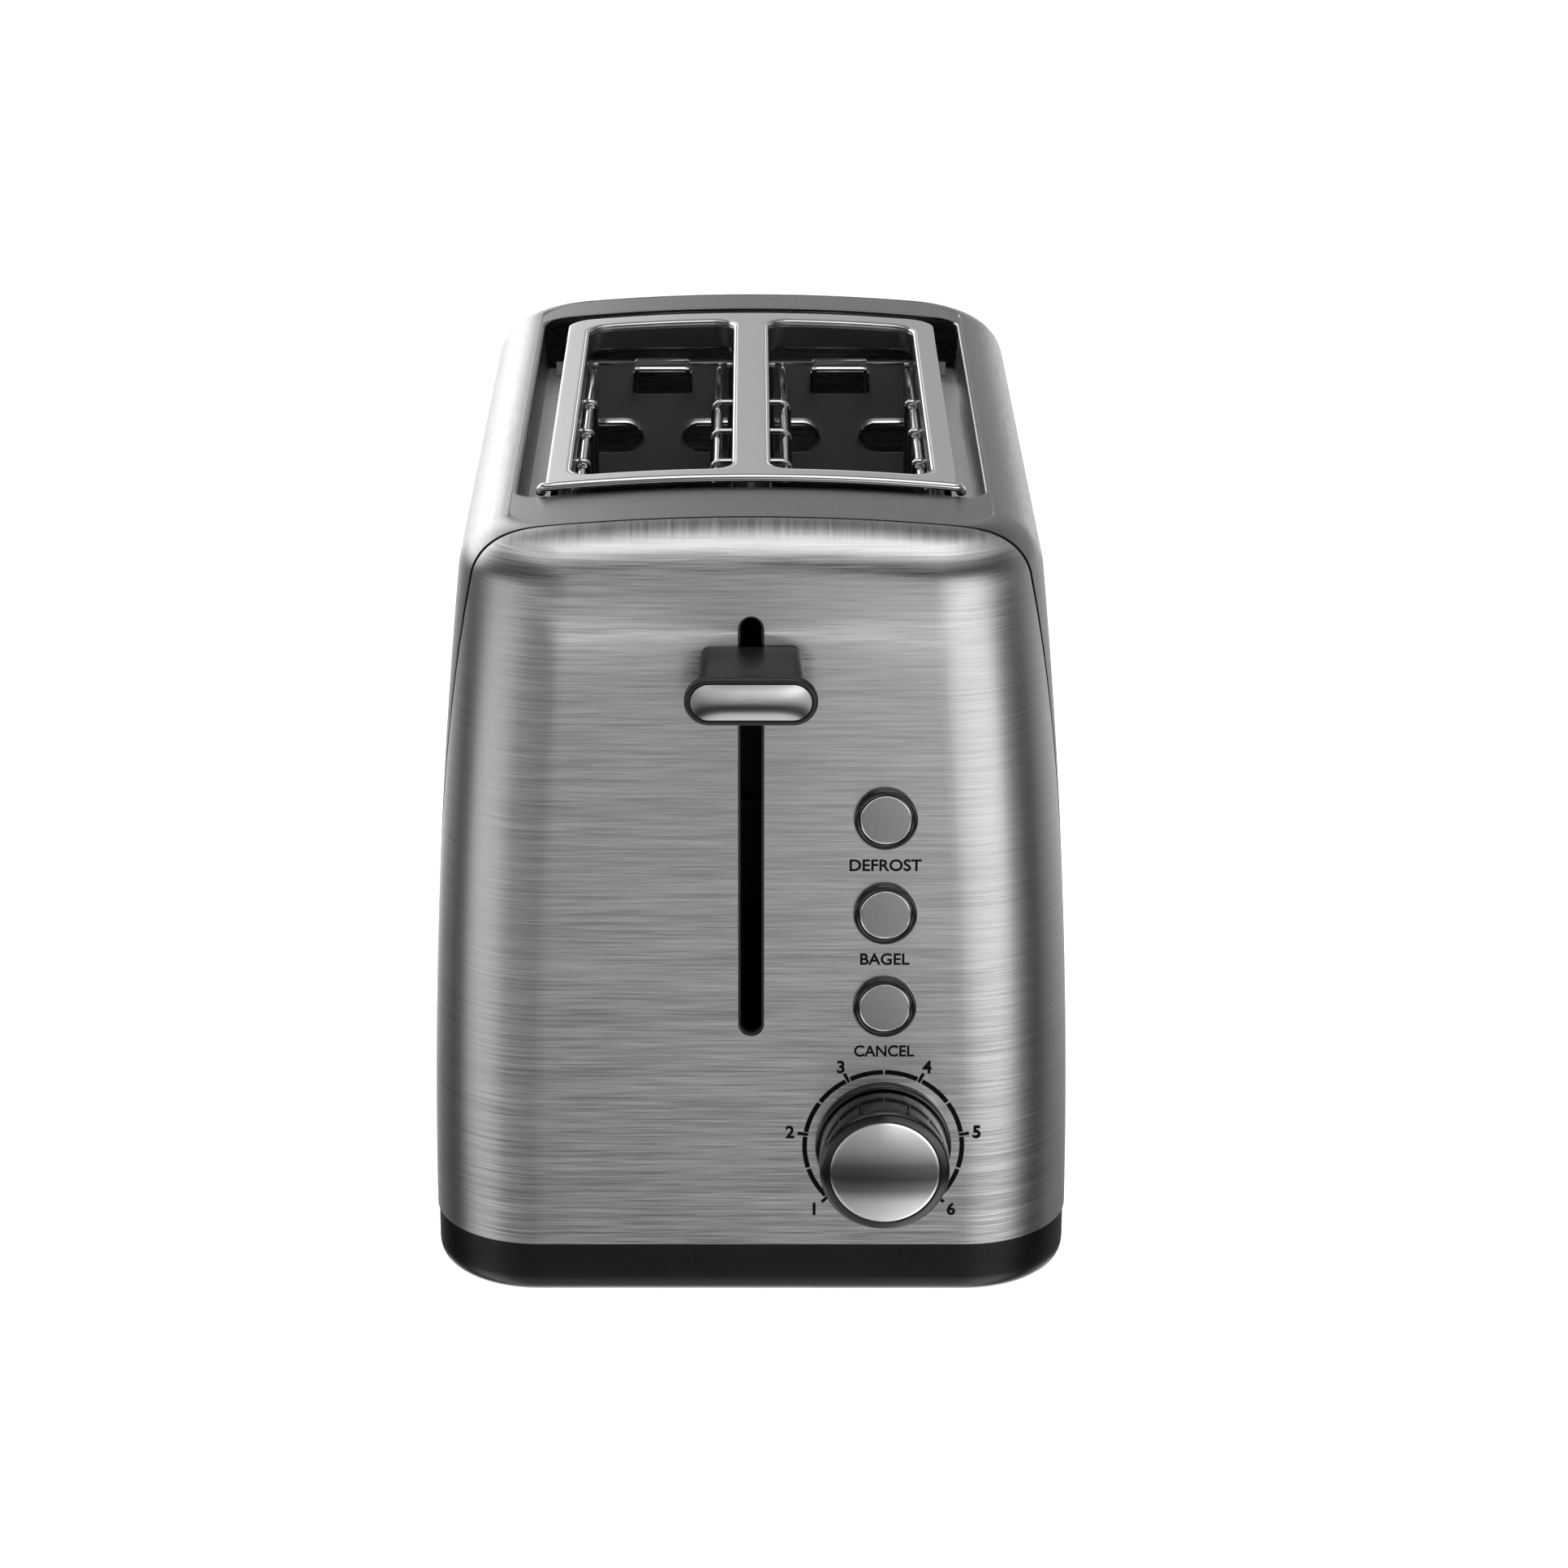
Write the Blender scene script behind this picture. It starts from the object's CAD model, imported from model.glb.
"""Looks of a two-slice pop-up toaster: steel skins, slot plate, lever, dial, buttons, base and print."""

import math

import bmesh
import bpy
import numpy as np
from bpy.props import FloatProperty, FloatVectorProperty, IntProperty, PointerProperty
from bpy.types import Operator, Panel, PropertyGroup
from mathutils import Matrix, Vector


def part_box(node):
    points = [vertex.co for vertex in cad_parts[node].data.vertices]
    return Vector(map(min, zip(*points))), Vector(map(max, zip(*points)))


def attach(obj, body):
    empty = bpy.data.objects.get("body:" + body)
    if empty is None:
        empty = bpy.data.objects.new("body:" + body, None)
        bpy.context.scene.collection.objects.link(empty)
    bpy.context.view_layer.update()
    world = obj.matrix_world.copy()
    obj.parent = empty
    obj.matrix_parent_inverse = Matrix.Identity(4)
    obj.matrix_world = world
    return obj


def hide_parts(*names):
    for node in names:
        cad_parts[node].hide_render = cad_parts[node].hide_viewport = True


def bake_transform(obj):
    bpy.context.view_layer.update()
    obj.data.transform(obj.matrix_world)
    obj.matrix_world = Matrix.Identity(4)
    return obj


bl_info = {
    "name": "Pop-up Toaster",
    "version": (1, 0, 0),
    "blender": (4, 5, 0),
    "location": "View3D > Sidebar > Toaster",
    "description": "Builds the visible skins and finishes of a two-slice toaster around its CAD frame",
    "category": "Add Mesh",
}

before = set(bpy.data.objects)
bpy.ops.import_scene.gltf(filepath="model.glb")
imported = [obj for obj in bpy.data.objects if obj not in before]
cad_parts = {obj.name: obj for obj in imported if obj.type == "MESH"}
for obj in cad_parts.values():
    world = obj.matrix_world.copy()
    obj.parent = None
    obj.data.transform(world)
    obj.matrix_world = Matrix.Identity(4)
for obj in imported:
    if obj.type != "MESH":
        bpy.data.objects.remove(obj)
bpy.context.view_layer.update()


def corners(cad_node):
    """Lowest and highest corners of a CAD node, as arrays."""
    low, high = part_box(cad_node)
    return np.array(low), np.array(high)


def disc(cad_node):
    """Centre, radius, front and back of a round CAD node whose axis runs along Y."""
    low, high = corners(cad_node)
    return (low + high) / 2, (high[0] - low[0]) / 2, low[1], high[1]


_, FRONT_Y, STEEL_Z = corners("front_panel")[0]
HALF_WIDTH, _, TOP_Z = corners("wrapper_shell")[1]
REAR_Y = corners("rear_panel")[1][1]
MID_Y = (FRONT_Y + REAR_Y) / 2
BUTTONS = ("defrost", "bagel", "cancel")


# ---- settings that a user would change ----
class ToasterBodySizes(PropertyGroup):
    side_radius: FloatProperty(name="Side radius", description="Radius of the leaning sides", default=1.7,
                               unit="LENGTH")
    crown_radius: FloatProperty(name="Crown radius", description="Radius of the top's crown", default=0.54,
                                unit="LENGTH")
    face_radius: FloatProperty(name="Face radius", description="Radius of the end faces' lean", default=1.014,
                               unit="LENGTH")
    face_drop: FloatProperty(name="Face drop", description="How far the lean's centre lies below the steel",
                             default=0.0192, unit="LENGTH")
    corner_radius: FloatProperty(name="Corner radius", description="Upright corner radius in plan", default=0.027,
                                 unit="LENGTH")
    shoulder_radius: FloatProperty(name="Shoulder radius", description="Rounding between walls and top", default=0.014,
                                   unit="LENGTH")
    wall: FloatProperty(name="Steel", description="Sheet thickness", default=0.0008, unit="LENGTH")
    seam_depth: FloatProperty(name="Seam depth", description="Seam behind each end face's foot", default=0.0304,
                              unit="LENGTH")
    seam_gap: FloatProperty(name="Seam gap", description="Gap between wrapper and end panels", default=0.0009,
                            unit="LENGTH")
    hole_half_width: FloatProperty(name="Top opening", description="Half width of the top opening", default=0.0586,
                                   unit="LENGTH")
    hole_front: FloatProperty(name="Opening front", description="Opening's front edge behind the face", default=0.0558,
                              unit="LENGTH")
    hole_length: FloatProperty(name="Opening length", description="Length of the top opening", default=0.1757,
                               unit="LENGTH")
    hole_corner: FloatProperty(name="Opening corner", description="Corner radius of the top opening", default=0.007,
                               unit="LENGTH")
    flange_depth: FloatProperty(name="Flange depth", description="Depth of the opening's side flanges", default=0.025,
                                unit="LENGTH")
    flange_end: FloatProperty(name="Flange end", description="Flange end ahead of the opening's back", default=0.017,
                              unit="LENGTH")
    flange_slope: FloatProperty(name="Flange slope", description="How far a flange leans in at its foot",
                                default=0.0024, unit="LENGTH")
    slot_width: FloatProperty(name="Lever slot", description="Width of the lever slot", default=0.0064, unit="LENGTH")
    slot_low: FloatProperty(name="Slot foot", description="Slot's low end above the steel's edge", default=0.056,
                            unit="LENGTH")
    slot_high: FloatProperty(name="Slot head", description="Slot's high end above the steel's edge", default=0.16125,
                             unit="LENGTH")


class ToasterPlateSizes(PropertyGroup):
    half_width: FloatProperty(name="Half width", description="Half width of the slot plate", default=0.0513,
                              unit="LENGTH")
    front: FloatProperty(name="Front", description="Plate's front edge behind the face", default=0.0572, unit="LENGTH")
    length: FloatProperty(name="Length", description="Plate length", default=0.160, unit="LENGTH")
    proud: FloatProperty(name="Proud", description="Plate's height above the body's crown", default=0.0023,
                         unit="LENGTH")
    thickness: FloatProperty(name="Thickness", description="Plate thickness", default=0.001, unit="LENGTH")
    bar_width: FloatProperty(name="Centre bar", description="Width between the slots", default=0.0098, unit="LENGTH")
    slot_width: FloatProperty(name="Slot width", description="Width of a bread slot", default=0.0403, unit="LENGTH")
    slot_front: FloatProperty(name="Slot front", description="Slot's front behind the face", default=0.0644,
                              unit="LENGTH")
    slot_length: FloatProperty(name="Slot length", description="Length of a bread slot", default=0.1453, unit="LENGTH")
    slot_corner: FloatProperty(name="Slot corner", description="Corner radius of a slot", default=0.006, unit="LENGTH")
    collar_depth: FloatProperty(name="Collar", description="Depth of the turned-down collar", default=0.0084,
                                unit="LENGTH")
    bead_radius: FloatProperty(name="Bead", description="Radius of the rolled front bead", default=0.0011,
                               unit="LENGTH")


class ToasterFinishes(PropertyGroup):
    steel: FloatVectorProperty(name="Brushed steel", description="Colour of the end panels", subtype="COLOR",
                               default=(0.60, 0.60, 0.605))
    satin: FloatVectorProperty(name="Satin steel", description="Colour of the wrapper", subtype="COLOR", default=(0.32,
                               0.32, 0.3225))
    chrome: FloatVectorProperty(name="Chrome", description="Colour of the bright trim", subtype="COLOR", default=(0.86,
                                0.86, 0.87))
    black: FloatVectorProperty(name="Black", description="Colour of the black mouldings", subtype="COLOR",
                               default=(0.008, 0.008, 0.0083))
    grey: FloatVectorProperty(name="Button grey", description="Colour of the button caps", subtype="COLOR",
                              default=(0.44, 0.44, 0.445))
    grain: FloatProperty(name="Grain", description="Strength of the brushed grain", default=0.5, min=0, max=1)


# ---- surfaces as arrays ----
def grid(points, close_u=False, flip=False):
    """A patch of quads over a rows by columns array of points; close_u joins the last column to the first."""
    rows, cols = points.shape[:2]
    index = np.arange(rows * cols).reshape(rows, cols)
    if close_u:
        index = np.concatenate([index, index[:, :1]], axis=1)
    quads = np.stack([index[:-1, :-1], index[:-1, 1:], index[1:, 1:], index[1:, :-1]], axis=-1).reshape(-1, 4)
    return points.reshape(-1, 3), quads[:, ::-1] if flip else quads


def combine(patches):
    """Several patches as one: their points stacked and their faces renumbered."""
    points = np.concatenate([p for p, _ in patches])
    starts = np.cumsum([0] + [len(p) for p, _ in patches[:-1]])
    return points, np.concatenate([f + s for (_, f), s in zip(patches, starts)])


def make_piece(name, patch, sharp=35.0, weld=0.0, attributes=()):
    """A Blender mesh object from a patch, shaded smooth apart from edges sharper than the given angle."""
    points, faces = patch
    mesh = bpy.data.meshes.new(name)
    mesh.from_pydata(points.astype(float), [], faces.astype(int))
    for key, values in attributes:
        mesh.attributes.new(key, "FLOAT", "POINT").data.foreach_set("value", values.astype(np.float32).ravel())
    if weld:
        work = bmesh.new()
        work.from_mesh(mesh)
        bmesh.ops.remove_doubles(work, verts=work.verts, dist=weld)
        bmesh.ops.recalc_face_normals(work, faces=work.faces)
        work.to_mesh(mesh)
        work.free()
    mesh.shade_smooth()
    mesh.set_sharp_from_angle(angle=math.radians(sharp))
    piece = bpy.data.objects.new(name, mesh)
    bpy.context.scene.collection.objects.link(piece)
    return piece


def finish_piece(piece, body, material, nodes=()):
    """Give a piece its material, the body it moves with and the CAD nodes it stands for."""
    piece.data.materials.clear()
    piece.data.materials.append(material)
    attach(piece, body)
    if nodes:
        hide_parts(*nodes)
    return piece


def thicken(piece, thickness):
    """Give a skin its thickness, inwards from its outer face."""
    thick = piece.modifiers.new("thickness", "SOLIDIFY")
    thick.thickness = thickness
    thick.offset = -1


def soften(piece, width, sharper_than=30.0, harden=False):
    """Round the edges of a piece that are sharper than an angle in degrees."""
    soft = piece.modifiers.new("edges", "BEVEL")
    soft.width = width
    soft.segments = 2
    soft.limit_method = "ANGLE"
    soft.angle_limit = math.radians(sharper_than)
    soft.harden_normals = harden


def evaluated_mesh(carrier):
    """An object's mesh as it is after its modifiers, or a curve's as it is when filled."""
    graph = bpy.context.evaluated_depsgraph_get()
    return bpy.data.meshes.new_from_object(carrier.evaluated_get(graph), depsgraph=graph)


def cut_away(piece, cutters, place=0):
    """Subtract cutters from a piece at a place in its modifier stack, then keep only the resulting mesh."""
    for cutter in cutters:
        cut = piece.modifiers.new(cutter.name, "BOOLEAN")
        cut.object = cutter
        cut.operation = "DIFFERENCE"
        cut.solver = "EXACT"
        piece.modifiers.move(len(piece.modifiers) - 1, place)
    mesh = evaluated_mesh(piece)
    piece.modifiers.clear()
    piece.data = mesh
    for cutter in cutters:
        bpy.data.objects.remove(cutter)


def outline_parameters(straight_x, straight_y, corner_count):
    """Where a rounded rectangle's points lie: fractions along its core rectangle, and outward normals."""
    turn = np.linspace(0, np.pi / 2, corner_count + 1)[1:-1]
    ones = np.ones_like(turn)
    sx, sy = straight_x, straight_y
    fx = np.concatenate([sx, ones, np.ones_like(sy), ones, -sx, -ones, -np.ones_like(sy), -ones])
    fy = np.concatenate([-np.ones_like(sx), -ones, sy, ones, np.ones_like(sx), ones, -sy, -ones])
    sin, cos = np.sin(turn), np.cos(turn)
    nx = np.concatenate([0 * sx, sin, 0 * sy + 1, cos, 0 * sx, -sin, 0 * sy - 1, -cos])
    ny = np.concatenate([0 * sx - 1, -cos, 0 * sy, sin, 0 * sx + 1, cos, 0 * sy, -sin])
    return fx, fy, nx, ny


def rounded_ring(half_a, half_b, radius, count=24, straight=6):
    """A rounded rectangle as (n, 2) points: core rectangle plus the radius times the outward normal."""
    line = np.linspace(-1, 1, straight)
    fx, fy, nx, ny = outline_parameters(line, line, count)
    return np.stack([fx * (half_a - radius) + radius * nx, fy * (half_b - radius) + radius * ny], axis=-1)


def tube(path, radius, reference=(0, 0, 1), sides=12):
    """A round bar along a path: each ring is turned to the path's tangent, crossed with a reference direction."""
    path = np.asarray(path, float)
    tangent = np.gradient(path, axis=0)
    tangent /= np.linalg.norm(tangent, axis=1, keepdims=True)
    across = np.cross(tangent, np.asarray(reference, float))
    across /= np.linalg.norm(across, axis=1, keepdims=True)
    above = np.cross(across, tangent)
    angle = np.linspace(0, 2 * np.pi, sides, endpoint=False)
    size = np.broadcast_to(np.asarray(radius, float), (len(path),))[:, None, None]
    rings = path[:, None] + size * (np.cos(angle)[:, None] * across[:, None] + np.sin(angle)[:, None] * above[:, None])
    rings = np.concatenate([path[:1, None].repeat(sides, 1), rings, path[-1:, None].repeat(sides, 1)])
    return grid(rings, close_u=True)


def revolve(profile, centre, sides=96):
    """A turned shape about an axis along Y: profile holds (radius, y) pairs, closed at radius zero."""
    profile = np.asarray(profile, float)
    angle = np.linspace(0, 2 * np.pi, sides, endpoint=False)
    radius = profile[:, :1]
    points = np.stack([centre[0] + radius * np.cos(angle), np.broadcast_to(profile[:, 1:], (len(profile), sides)),
                       centre[2] + radius * np.sin(angle)], axis=-1)
    return grid(points, close_u=True)


def rounded_profile(points, radii, steps=6):
    """A polyline with its inner corners replaced by arcs: each arc is a quadratic curve tangent to both sides."""
    points = np.asarray(points, float)
    out = [points[:1]]
    for before, here, after, radius in zip(points[:-2], points[1:-1], points[2:], radii):
        a = here + (before - here) / max(np.linalg.norm(before - here), 1e-9) * radius
        b = here + (after - here) / max(np.linalg.norm(after - here), 1e-9) * radius
        t = np.linspace(0, 1, steps if radius > 0 else 1)[:, None]
        out.append((1 - t) ** 2 * a + 2 * t * (1 - t) * here + t ** 2 * b)
    return np.concatenate(out + [points[-1:]])


# ---- shape of the body ----
def face_lean(height, sizes):
    """Depth an end face has leaned back at a height above the steel's edge: an arc centred below the foot."""
    return ((height + sizes.face_drop) ** 2 - sizes.face_drop ** 2) / (2 * sizes.face_radius)


def crown(x, sizes):
    """Height of the crowned top at x: a parabola of the crown's radius."""
    return TOP_Z - x ** 2 / (2 * sizes.crown_radius)


def lane(fraction, half, lane_fraction, lane_half):
    """Core position from a fraction: the middle lane keeps its width, the rest spreads to the half width."""
    size = np.abs(fraction)
    inner = size / lane_fraction * lane_half
    outer = lane_half + (size - lane_fraction) / (1 - lane_fraction) * (half - lane_half)
    return np.sign(fraction) * np.where(size <= lane_fraction, inner, outer)


def body_surface(sizes):
    """The whole outer skin as a grid.

    Columns run round a rounded rectangle.  Rows climb the wall, whose half width and depth shrink along large arcs;
    then turn over a shoulder arc that starts on the wall's slope and ends on the crown's; then cross the crown to the
    top opening's edge, round over it and drop down its side flanges.
    Returns points, shoulder progress for each point, and the slot's rows and columns.
    """
    lane_fraction = 0.12
    lane_half = sizes.slot_width / 2
    height = TOP_Z - STEEL_Z
    half_length = (REAR_Y - FRONT_Y) / 2
    hole_half_length = sizes.hole_length / 2
    hole_y = FRONT_Y + sizes.hole_front + hole_half_length
    radius, turn = sizes.corner_radius, sizes.shoulder_radius
    lane_columns = np.sin(np.linspace(-np.pi / 2, np.pi / 2, 15)) * lane_fraction
    flank = np.linspace(lane_fraction, 1, 24)[1:]
    straight_x = np.concatenate([-flank[::-1], lane_columns, flank])
    flange_stop = (hole_half_length - sizes.flange_end) / (hole_half_length - sizes.hole_corner)
    straight_y = np.sort(np.append(np.linspace(-1, 1, 40), [flange_stop, flange_stop + 0.002]))
    fx, fy, nx, ny = outline_parameters(straight_x, straight_y, 22)

    wall_top = np.full_like(fx, height - turn)
    for _ in range(6):
        half_x = HALF_WIDTH - wall_top ** 2 / (2 * sizes.side_radius)
        slope = wall_top / sizes.side_radius * abs(nx) + (wall_top + sizes.face_drop) / sizes.face_radius * abs(ny)
        start = np.arctan(slope)
        edge_x = lane(fx, half_x - radius, lane_fraction, lane_half) + (radius - turn) * nx
        end = np.pi / 2 - np.arctan(abs(edge_x) * abs(nx) / sizes.crown_radius)
        centre_z = height - edge_x ** 2 / (2 * sizes.crown_radius) - turn * np.sin(end)
        wall_top = centre_z + turn * np.sin(start)

    def plan(level, inset):
        """Plan position of the outline at a level, moved inwards by an inset."""
        half_x = HALF_WIDTH - level ** 2 / (2 * sizes.side_radius)
        half_y = half_length - face_lean(level, sizes)
        x = lane(fx, half_x - radius, lane_fraction, lane_half) + (radius - inset) * nx
        return x, MID_Y + fy * (half_y - radius) + (radius - inset) * ny

    low_mid, high_mid = sizes.slot_low + lane_half, sizes.slot_high - lane_half
    lane_x = lane(fx, half_x - radius, lane_fraction, lane_half)
    bulge = np.where((abs(lane_x) < lane_half) & (ny < -0.5), np.sqrt(np.maximum(lane_half ** 2 - lane_x ** 2, 0)), 0)
    knots = np.stack([0 * fx, low_mid - bulge, high_mid + bulge, wall_top])
    counts = (16, 34, 6)
    rows = [knots[i] + (knots[i + 1] - knots[i]) * t for i, n in enumerate(counts)
            for t in np.linspace(0, 1, n, endpoint=False)[:, None]]
    slot_rows = (counts[0], counts[0] + counts[1])
    layers = [np.stack([*plan(level, 0.0), STEEL_Z + level], axis=-1) for level in rows]
    progress = [0 * fx for _ in rows]
    for t in np.linspace(0, 1, 18):
        angle = start + (end - start) * t
        x, y = plan(wall_top, turn * (np.cos(start) - np.cos(angle)))
        layers.append(np.stack([x, y, STEEL_Z + centre_z + turn * np.sin(angle)], axis=-1))
        progress.append(0 * fx + t)
    rear_lip, side_lip = 0.0002, 0.0008
    lip = np.where(ny > 0.5, rear_lip, side_lip)[:, None]
    hole_x = lane(fx, sizes.hole_half_width - sizes.hole_corner, lane_fraction, lane_half)
    hole_y = hole_y + fy * (hole_half_length - sizes.hole_corner)
    hole_ring = np.stack([hole_x, hole_y], axis=-1) + (sizes.hole_corner + lip) * np.stack([nx, ny], axis=-1)
    edge = layers[-1][:, :2]
    for t in np.linspace(0, 1, 12)[1:]:
        flat = edge + (hole_ring - edge) * t
        layers.append(np.column_stack([flat, crown(flat[:, 0], sizes)]))
        progress.append(0 * fx + 1)
    deep = ((abs(nx) > 0.5) & (fy <= flange_stop + 1e-6)) | ((ny < 0) & (abs(nx) > 0.2))
    drop = np.where(deep, sizes.flange_depth, 2 * lip[:, 0])
    inward = -np.stack([nx, ny], axis=-1)
    for angle in np.linspace(0, np.pi / 2, 5)[1:]:
        flat = hole_ring + inward * lip * math.sin(angle)
        layers.append(np.column_stack([flat, crown(flat[:, 0], sizes) - lip[:, 0] * (1 - math.cos(angle))]))
        progress.append(0 * fx + 1)
    rim = layers[-1]
    for t in np.linspace(0, 1, 7)[1:]:
        slope = np.where(deep & (abs(nx) > 0.5), sizes.flange_slope, 0) * np.sign(nx)
        layers.append(rim - np.column_stack([slope * t, 0 * fx, (drop - lip[:, 0]) * t]))
        progress.append(0 * fx + 1)
    lane_columns_at = np.nonzero((abs(fx) <= lane_fraction + 1e-9) & (ny < -0.5))[0]
    return np.stack(layers), np.stack(progress), slot_rows, lane_columns_at


def body_skin(name, low_y, high_y, sizes, open_slot):
    """One pressed skin: the body surface cut off by two upright planes, given its thickness and softened edges."""
    points, progress, slot_rows, lane_at = body_surface(sizes)
    verts, quads = grid(points, close_u=True)
    if open_slot:
        row, col = np.divmod(np.arange(len(quads)), points.shape[1])
        hole = (row >= slot_rows[0]) & (row < slot_rows[1]) & (col >= lane_at.min()) & (col < lane_at.max())
        quads = quads[~hole]
    piece = make_piece(name, (verts, quads), attributes=[("shoulder", progress)])
    work = bmesh.new()
    work.from_mesh(piece.data)
    for y, outer in ((low_y, False), (high_y, True)):
        everything = work.verts[:] + work.edges[:] + work.faces[:]
        bmesh.ops.bisect_plane(work, geom=everything, dist=1e-7, plane_co=(0, y, 0), plane_no=(0, 1, 0),
                               clear_outer=outer, clear_inner=not outer)
    work.to_mesh(piece.data)
    work.free()
    thicken(piece, sizes.wall)
    edge_radius = 0.00022
    soften(piece, edge_radius, sharper_than=40, harden=True)
    return piece


# ---- finishes ----
def socket(material, name):
    """An input of a material's Principled shader."""
    return material.node_tree.nodes["Principled BSDF"].inputs[name]


def new_material(name, color, roughness, metallic=0.0, **sockets):
    """A node material with its Principled shader set up; extra sockets are set by name."""
    material = bpy.data.materials.new(name)
    material.use_nodes = True
    values = {"Base Color": (*color, 1), "Roughness": roughness, "Metallic": metallic, **sockets}
    for key, value in values.items():
        socket(material, key.replace("_", " ")).default_value = value
    return material


def node(material, kind, **values):
    """Add a node and set its properties."""
    made = material.node_tree.nodes.new(kind)
    for key, value in values.items():
        setattr(made, key, value)
    return made


def link(material, source, target):
    """Join two sockets."""
    material.node_tree.links.new(source, target)


def stretched_noise(material, scale, detail=6.0, roughness=0.6, turn=(0, 0, 0)):
    """Noise on Object coordinates, stretched by a scale for each axis and turned: grain, streaks or mottling."""
    place = node(material, "ShaderNodeTexCoord")
    mapping = node(material, "ShaderNodeMapping")
    mapping.inputs["Scale"].default_value = scale
    mapping.inputs["Rotation"].default_value = turn
    noise = node(material, "ShaderNodeTexNoise")
    noise.inputs["Scale"].default_value = 1.0
    noise.inputs["Detail"].default_value = detail
    noise.inputs["Roughness"].default_value = roughness
    link(material, place.outputs["Object"], mapping.inputs["Vector"])
    link(material, mapping.outputs["Vector"], noise.inputs["Vector"])
    return noise.outputs["Fac"]


def ranged(material, value, low, high, start=0.3, stop=0.7):
    """Map a noise value from its usual span onto a low to high range."""
    ranged_node = node(material, "ShaderNodeMapRange")
    ranged_node.inputs["From Min"].default_value = start
    ranged_node.inputs["From Max"].default_value = stop
    ranged_node.inputs["To Min"].default_value = low
    ranged_node.inputs["To Max"].default_value = high
    link(material, value, ranged_node.inputs["Value"])
    return ranged_node.outputs["Result"]


def blended(material, kind, factor, a, b):
    """A Mix node: FLOAT or RGBA, with values or sockets for its two sides."""
    mix = node(material, "ShaderNodeMix", data_type=kind)
    slots = {"FLOAT": (2, 3, 0), "RGBA": (6, 7, 2)}[kind]
    for at, value in ((0, factor), (slots[0], a), (slots[1], b)):
        if hasattr(value, "is_output"):
            link(material, value, mix.inputs[at])
        else:
            mix.inputs[at].default_value = value
    return mix.outputs[slots[2]]


def bumped(material, height, strength, distance):
    """Small surface relief from a height value."""
    bump = node(material, "ShaderNodeBump")
    bump.inputs["Strength"].default_value = strength
    bump.inputs["Distance"].default_value = distance
    link(material, height, bump.inputs["Height"])
    link(material, bump.outputs["Normal"], socket(material, "Normal"))


def brushed_steel(name, color, grain, band=True):
    """Sheet steel brushed sideways: stretched grain in tint, roughness and relief, with cross grain on the shoulder."""
    material = new_material(name, color, 0.3, 1.0, Anisotropic=0.8, Anisotropic_Rotation=0.25)
    fine = stretched_noise(material, (60, 60, 3400), detail=1.0)
    broad = stretched_noise(material, (20, 20, 1200), detail=1.5)
    along = blended(material, "FLOAT", 0.4, fine, broad)
    value = along
    if band:
        across = stretched_noise(material, (1000, 26, 26), detail=5.0, turn=(0, 0, 0.2))
        lift = node(material, "ShaderNodeAttribute", attribute_name="shoulder")
        step = ranged(material, lift.outputs["Fac"], 0.0, 1.0, 0.42, 0.62)
        value = blended(material, "FLOAT", step, along, blended(material, "FLOAT", 0.5, across, 0.5))
    turned = node(material, "ShaderNodeSeparateXYZ")
    link(material, node(material, "ShaderNodeTexCoord").outputs["Normal"], turned.inputs[0])
    sideways = node(material, "ShaderNodeMath", operation="ABSOLUTE")
    link(material, turned.outputs["X"], sideways.inputs[0])
    value = blended(material, "FLOAT", ranged(material, sideways.outputs[0], 0.0, 0.75, 0.35, 0.75), value, 0.5)
    tint = ranged(material, value, 1 - 0.5 * grain, 1 + 0.5 * grain, 0.36, 0.64)
    shade = node(material, "ShaderNodeVectorMath", operation="SCALE")
    shade.inputs[0].default_value = color
    link(material, tint, shade.inputs["Scale"])
    link(material, shade.outputs["Vector"], socket(material, "Base Color"))
    link(material, ranged(material, value, 0.22, 0.36), socket(material, "Roughness"))
    tangent = node(material, "ShaderNodeTangent", direction_type="RADIAL", axis="Z")
    link(material, tangent.outputs["Tangent"], socket(material, "Tangent"))
    bumped(material, value, 0.12 * grain, 0.0002)
    return material


def satin_steel(name, color, roughness=0.33, grain=0.1):
    """Fine satin steel: even sheen with a faint grain."""
    material = new_material(name, color, roughness, 1.0)
    fine = stretched_noise(material, (900, 120, 900), detail=3.0)
    link(material, ranged(material, fine, roughness - 0.03, roughness + 0.04), socket(material, "Roughness"))
    bumped(material, fine, grain, 0.0001)
    return material


def polished_metal(name, color, roughness=0.06):
    """Bright metal with faint smears in its gloss."""
    material = new_material(name, color, roughness, 1.0)
    smear = stretched_noise(material, (60, 60, 60), detail=5.0)
    link(material, ranged(material, smear, roughness * 0.7, roughness * 1.6), socket(material, "Roughness"))
    return material


def moulded_plastic(name, color, roughness, coat=0.0, texture=0.1):
    """Moulded plastic: fine spark texture and a slight change in gloss."""
    material = new_material(name, color, roughness, 0.0, Coat_Weight=coat, Coat_Roughness=0.05)
    spark = stretched_noise(material, (2600, 2600, 2600), detail=2.0)
    sheen = stretched_noise(material, (35, 35, 35), detail=4.0)
    link(material, ranged(material, sheen, roughness * 0.85, roughness * 1.2), socket(material, "Roughness"))
    bumped(material, spark, texture, 0.00005)
    return material


def mottled(name, dark, light, roughness, scale, metallic=0.0):
    """Two tones mixed by noise: mica, rubber, oxidised ribbon, circuit board, heat-dulled steel."""
    material = new_material(name, light, roughness, metallic)
    cloud = stretched_noise(material, scale, detail=8.0)
    tone = blended(material, "RGBA", ranged(material, cloud, 0.0, 1.0), (*dark, 1), (*light, 1))
    link(material, tone, socket(material, "Base Color"))
    bumped(material, cloud, 0.15, 0.0001)
    return material


MATERIALS = {}


def material_of(name):
    """A finished material by its plain name."""
    return MATERIALS[name]


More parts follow.
